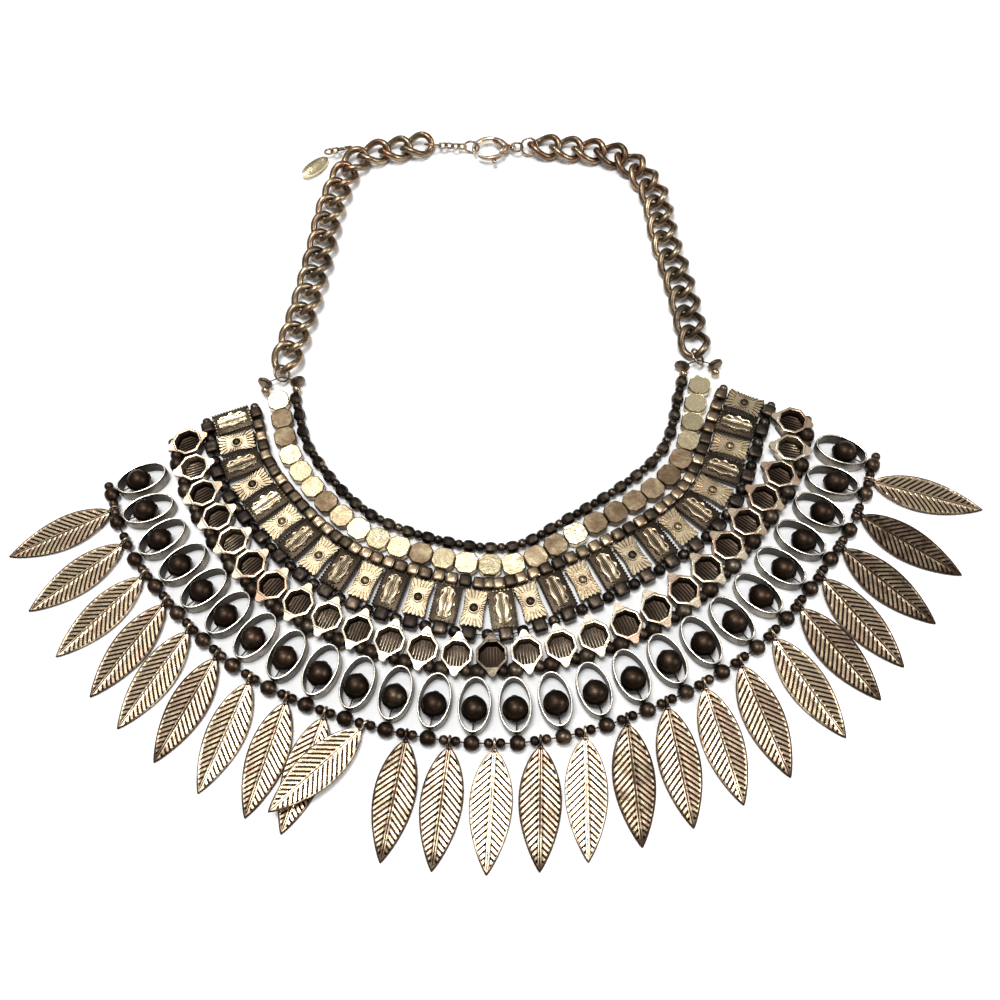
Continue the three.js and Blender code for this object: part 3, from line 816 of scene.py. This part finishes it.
# spacers at the head of each plaque and between them, the plaques, and the square beads at their feet
plaques = places_on("plaque")
heads = [shifted(place, 8.0) for place in plaques]
feet = [shifted(place, -8.05) for place in plaques]
spacer = Pattern(cushion_bead(1.8), angle=40)
foot_bead = Pattern(cushion_bead(2.05), angle=40)
foot_gap_bead = Pattern(oval_bead(3.3, 1.85, 10), angle=40)
spacers, squares, longs = row_of_three(), row_of_three(), row_of_three()


def framed_hollow(corner):
    """The ground stays dark, and the ribs, the wavy line and the tops of the grains are rubbed."""
    above = corner.z - PLAQUE_TOP
    if abs(corner.x) < 2.06 and abs(corner.y) < 4.75 and above > 0.02:
        return 0.0 if on_rib(corner.x, above / BALUSTER["flat"]) else 0.7
    if abs(corner.x) > 3.0 or abs(corner.y) > 5.3:
        return 0.5 if above > 0.15 else 0.95
    return 0.1 if above > 0.1 else 0.95


def rayed_hollow(corner):
    """The boss and the teeth of the edge stay dark, and the face is rubbed bright."""
    if corner.xy.length < 1.25:
        return 0.7
    return 0.05 if corner.z > PLAQUE_TOP - 0.28 else 0.9


framed = Pattern(framed_plaque(), framed_hollow, 30)
rayed = Pattern(rayed_plaque(), rayed_hollow, 30)
for i, place in enumerate(plaques):
    third = third_of(i, len(plaques))
    number = i + 1
    spacers[third].add(spacer, matrix_of(heads[i], z=THREAD_Z), varied(0.38, 0.38), 0.3)
    squares[third].add(foot_bead, matrix_of(feet[i], z=THREAD_Z + 0.25), varied(0.22), 0.3)
    if i:
        spacers[third].add(spacer, matrix_of(between(heads[i - 1], heads[i]), z=THREAD_Z),
                           varied(0.38, 0.38), 0.3)
        thread(spacers[third], heads[i - 1][0], heads[i][0], THREAD_Z, STRING)
        squares[third].add(foot_gap_bead, matrix_of(between(feet[i - 1], feet[i]), z=THREAD_Z),
                           varied(0.25), 0.3)
        thread(squares[third], feet[i - 1][0], feet[i][0], THREAD_Z, STRING)
    bright = number in BRIGHT_FRAMES or number in BRIGHT_RAYS
    longs[third].add(framed if number % 2 else rayed, matrix_of(place, z=THREAD_Z),
                     varied(0.95 if bright else 0.66, 0.08), 0.3)
end_beads(spacers, heads, 2.9, THREAD_Z)
end_beads(squares, feet, 3.1, THREAD_Z)
finish_row(spacers, "spacer_beads", [BRONZE], "bronze")
finish_row(longs, "long_plaques", [PLAQUE_GOLD], "bronze")
finish_row(squares, "square_beads", [DARK_BEAD], "dark_bead")

# cups, with a small and a larger bead in each gap of their string
row = row_of_three()


def cup_patina_and_painted_shade(corner):
    """Only the rim, the ears and the outer half of the ribs are rubbed bright; the ribs on the neck side stay as dark
    as the patina, which is painted shade from the cup's wall.
    """
    if corner.z > 4.2:
        return 0.0
    # Ribs on the neck half of the floor get 0.97, painted shade cast by the cup's wall; ribs on the outer half get
    # 0.35, rubbed copper.
    return 0.35 if 1.15 < corner.z < 1.5 and corner.y < 0 else 0.97


cup = Pattern(cup_shell(), cup_patina_and_painted_shade, 30)
cup_bead = Pattern(oval_bead(4.5, 2.5, 14), angle=40)
cup_gap_bead = Pattern(oval_bead(3.2, 1.95, 12), angle=40)
places = places_on("cup")
for i, place in enumerate(places):
    number = i + 1
    third = third_of(i, len(places))
    tone = 0.95 if number in BRIGHT_CUPS else 0.25 if number == DARK_CUP else varied(0.72, 0.08)
    row[third].add(cup, matrix_of(place), tone, 0.1 if number in BRIGHT_CUPS else 0.7)
    if i:
        middle = between(places[i - 1], place)
        row[third].add(cup_bead, matrix_of(middle, x=1.2, y=-4.9, z=2.6), varied(0.12, 0.1), 0.4)
        row[third].add(cup_gap_bead, matrix_of(middle, x=-2.2, y=-4.6, z=2.3), varied(0.12, 0.1), 0.4)
        thread(row[third], shifted(places[i - 1], -4.7)[0], shifted(place, -4.7)[0], THREAD_Z, STRING)
end_beads(row, [shifted(place, -4.7) for place in places], 3.0, THREAD_Z)
finish_row(row, "octagon_cups", [COPPER_RIM], "copper")

# the fringe: oval bands with a ball in each, and the outer string at their feet
row = row_of_three()
band_half_x, band_half_y, band_height, band_wall = RING_SIZE


def band_hollow(corner):
    """The rim of a band is rubbed bright and its inside is nearly black."""
    if corner.z > band_height - 0.12:
        return 0.0
    out = math.hypot(corner.x / band_half_x, corner.y / band_half_y)
    return 0.6 if out > 0.95 else 0.9


band = Pattern(oval_band(), band_hollow, 40)
ball = Pattern(ball_bead(3.7), angle=60)
foot = Pattern(oval_bead(4.3, 2.3, 12), angle=40)
FOOT_Z = 2.35
places = places_on("ring")
foot_places = [shifted(place, -10.45) for place in places]
leaf_places = [between(a, b) for a, b in zip(foot_places, foot_places[1:])]
for i, place in enumerate(places):
    third = third_of(i, len(places))
    row[third].add(band, matrix_of(place), varied(0.85, 0.06), 0.1, 1)
    # The ball's warm share of 0.8 paints amber copper blotches into its dark colour, a painted reflection of amber
    # glints.
    row[third].add(ball, matrix_of(place, y=-1.1, z=3.7), varied(0.16, 0.08), 0.8)
    row[third].add(foot, matrix_of(foot_places[i], z=FOOT_Z), varied(0.22), 0.6)
    thread(row[third], place[0], foot_places[i][0], THREAD_Z, STRING)
    if i:
        gap = leaf_places[i - 1]
        for side in (-1, 1):
            row[third].add(SMALL_BEAD, matrix_of(gap, x=side * 1.7, z=FOOT_Z), varied(0.2), 0.4)
        thread(row[third], foot_places[i - 1][0], foot_places[i][0], FOOT_Z, STRING)
end_beads(row, foot_places, 3.4, FOOT_Z)
finish_row(row, "ring_fringe", [BROWN_RING, RING_RIM], "dark_bronze")

# the leaves
leaf_down = leaf_pattern(LEAF_TILT)
leaf_up = leaf_pattern(-CROSSING_RISE)
for i, (place, swing, tone) in enumerate(zip(leaf_places, LEAF_SWING, LEAF_TONES)):
    number = i + 1
    leaf = Assembly()
    leaf.add(leaf_up if number == CROSSING_LEAF else leaf_down,
             matrix_of(place, z=FOOT_Z, turn=math.radians(swing)), tone, 0.25 if tone > 0.8 else 0.6)
    node = f"leaf_{number:02d}"
    leaf.finish(f"{node}_looks", [LEAF_METAL], [node], "pale_gold" if i % 3 else "copper")

# the curb chains
curb = Pattern(link(5.5, 4.35, 1.22, math.pi / 4), angle=80)
CHAIN_Z = 3.05
for name, node in (("right_chain", "curb_chain_right_side"), ("left_chain", "curb_chain_left_side")):
    chain = Assembly()
    for i, place in enumerate(places_on(name)):
        chain.add(curb, matrix_of(place, z=CHAIN_Z), varied(0.5, 0.15), 0.25 + 0.05 * i)
    chain.finish(f"{node}_looks", [BRONZE], [node], "bronze")


def hooked(assembly, pieces, start, heading, height):
    """Links in a line, each hooked into the next. A piece is (half length, wire, turn)."""
    along = 0.0
    before = None
    for half, wide, wire, turn in pieces:
        if before:
            along += before[0] + half - before[1] - wire + 0.2
        before = (half, wire)
        pattern = Pattern(link(half, wide, wire, 0, 24, 8), angle=80)
        assembly.add(pattern, matrix_of((Vector(start), heading), x=along, z=height)
                     @ Matrix.Rotation(turn, 4, "X"), varied(0.6), 0.5)


QUARTER = math.pi / 4
WIDE, SMALL, JUMP, TAIL_RING = (3, 3, 0.4), (1.5, 1.2, 0.4), (2.7, 2.7, 0.4), (2.15, 2.15, 0.4)
extender = Assembly()
hooked(extender, [(*WIDE, -QUARTER), (*SMALL, 0), (*SMALL, 2 * QUARTER), (*SMALL, 0),
                  (*SMALL, 2 * QUARTER), (*JUMP, 2 * QUARTER)], (-18.9, 98.4), math.radians(-8), 3.15)
extender.finish("extender_links_looks", [BRONZE], ["extender_links"], "bronze")

clasp_place = (Vector((2.8, 95.3)), 0.0)
clasp = Assembly()
clasp.add(Pattern(clasp_body(), angle=60), matrix_of(clasp_place, z=3), 0.5, 1.0)
clasp.add(Pattern(clasp_hook(), angle=60), matrix_of(clasp_place, z=3), 0.85, 0.0)
clasp.finish("clasp_body_looks", [COPPER_RIM], ["clasp_body"], "copper")
lever = Assembly()
lever.add(Pattern(clasp_lever(), angle=60), matrix_of(clasp_place, z=3), 0.5, 0.5)
lever.finish("clasp_lever_looks", [COPPER_RIM], ["clasp_lever"], "copper", "lever")
rings = Assembly()
hooked(rings, [(*TAIL_RING, 0), (*WIDE, QUARTER)], (12.5, 95.3), 0, 3.15)
rings.finish("clasp_rings_looks", [BRONZE], ["clasp_rings"], "bronze")

# the tag on its links
tag = Assembly()
tag.add(Pattern(oval_plate(), angle=40),
        matrix_of((Vector((-63, 91.5)), math.radians(229)), z=1.5) @ Matrix.Rotation(-0.07, 4, "Y"), 0.9, 0.1)
tag.finish("oval_tag_looks", [PALE_GOLD], ["oval_tag"], "bronze")
tag_links = Assembly()
hooked(tag_links, [(*JUMP, math.radians(50)), (*SMALL, 0), (*SMALL, 2 * QUARTER)],
       (-52, 98.6), math.radians(193), 3.2)
tag_links.finish("tag_links_looks", [BRONZE], ["tag_links"], "bronze")

# the bib's ends: a jump ring with two rondelles
rondelle = Pattern(turned([(-0.75, 1.5), (-0.75, 2.1), (-0.35, 2.55), (0.35, 2.55), (0.75, 2.1), (0.75, 1.5)],
                          20, "X"), angle=40)
for name, node in (("right_chain", "end_rings_right_side"), ("left_chain", "end_rings_left_side")):
    point, heading = places_on(name)[0]
    hook = point - Vector((math.cos(heading), math.sin(heading))) * 6.2
    ends = Assembly()
    ends.add(Pattern(link(2.8, 2.8, 0.4, 0, 28, 8), angle=80),
             matrix_of((hook, heading), z=CHAIN_Z) @ Matrix.Rotation(QUARTER, 4, "X"), 0.6, 0.3)
    for side in (-1, 1):
        place = (Vector((hook.x + 5.4 * side, -4.8)), math.radians(-70 * side))
        ends.add(rondelle, matrix_of(place, z=2.7), 0.4, 0.4)
        ends.add(SMALL_BEAD, matrix_of((Vector((hook.x + 5.2 * side, -7.6)), math.radians(-90)), z=2.3),
                 0.7, 0.3)
        thread(ends, Vector((hook.x, -2.6)), Vector((hook.x + 5.4 * side, -4.8)), 2.6, STRING)
    ends.finish(f"{node}_looks", [BRONZE], [node], "bronze")


# ---- the floor, the light and the camera ------------------------------------------------------------
def pale_floor():
    deselect()
    bpy.ops.mesh.primitive_plane_add(size=6)
    floor = bpy.context.object
    floor.name = "floor"
    material = bpy.data.materials.new("white paper")
    material.use_nodes = True
    shader = material.node_tree.nodes["Principled BSDF"]
    shader.inputs["Base Color"].default_value = (0.93, 0.93, 0.93, 1)
    shader.inputs["Roughness"].default_value = 0.9
    floor.data.materials.append(material)


def soft_light(name, place, size, watts, target=(0, 0, 0)):
    light = bpy.data.lights.new(name, "AREA")
    light.shape = "SQUARE"
    light.size = size
    light.energy = watts
    lamp = bpy.data.objects.new(name, light)
    bpy.context.scene.collection.objects.link(lamp)
    lamp.location = place
    lamp.rotation_euler = (Vector(target) - Vector(place)).to_track_quat("-Z", "Y").to_euler()


pale_floor()
soft_light("overhead light", (-0.1, 0.0, 1.2), 0.45, 12)
soft_light("back light", (-0.5, 0.75, 1.0), 0.25, 3)
soft_light("side light", (0.9, -0.2, 0.7), 0.3, 5)
bpy.context.scene.view_settings.view_transform = "Standard"
world = bpy.data.worlds.new("room")
bpy.context.scene.world = world
world.use_nodes = True
room = world.node_tree
sky = node_at(room, "ShaderNodeTexCoord").outputs["Generated"]
height_above = node_at(room, "ShaderNodeSeparateXYZ", {0: sky}).outputs["Z"]
patchy = node_at(room, "ShaderNodeTexNoise", {"Vector": sky, "Scale": 2.2, "Detail": 1.0}).outputs[0]
lit = node_at(room, "ShaderNodeMapRange", {"Value": height_above, "From Min": 0.1, "From Max": 0.95,
                                           "To Min": 0.05, "To Max": 0.62}).outputs[0]
broken = node_at(room, "ShaderNodeMapRange", {"Value": patchy, "From Min": 0.4, "From Max": 0.6,
                                              "To Min": 0.35, "To Max": 1.15}).outputs[0]
strength = node_at(room, "ShaderNodeMath", {0: lit, 1: broken}, operation="MULTIPLY").outputs[0]
seen = node_at(room, "ShaderNodeLightPath").outputs["Is Camera Ray"]
shown = node_at(room, "ShaderNodeMix", {"Factor": seen, "A": strength, "B": 0.85}).outputs[0]
room.links.new(shown, room.nodes["Background"].inputs["Strength"])
room.nodes["Background"].inputs["Color"].default_value = (1, 1, 1, 1)

CAMERA_PLACE = Vector((9.96, -170.97, 292.5)) * MM
LOOK_DOWN = math.radians(62.9)
LOOK_ALONG = Vector((-0.0488, 0.9988, 0))
ROLL = math.radians(4.65)
camera = bpy.data.objects.new("camera", bpy.data.cameras.new("camera"))
bpy.context.scene.collection.objects.link(camera)
camera.data.lens = 37.9
camera.data.sensor_width = 36
camera.data.clip_start = 0.01
forward = LOOK_ALONG * math.cos(LOOK_DOWN) - Vector((0, 0, 1)) * math.sin(LOOK_DOWN)
level_right = forward.cross(Vector((0, 0, 1))).normalized()
level_up = level_right.cross(forward)
right = level_right * math.cos(ROLL) - level_up * math.sin(ROLL)
up = level_up * math.cos(ROLL) + level_right * math.sin(ROLL)
camera.matrix_world = Matrix.Translation(CAMERA_PLACE) @ Matrix((right, up, -forward)).transposed().to_4x4()
bpy.context.scene.camera = camera
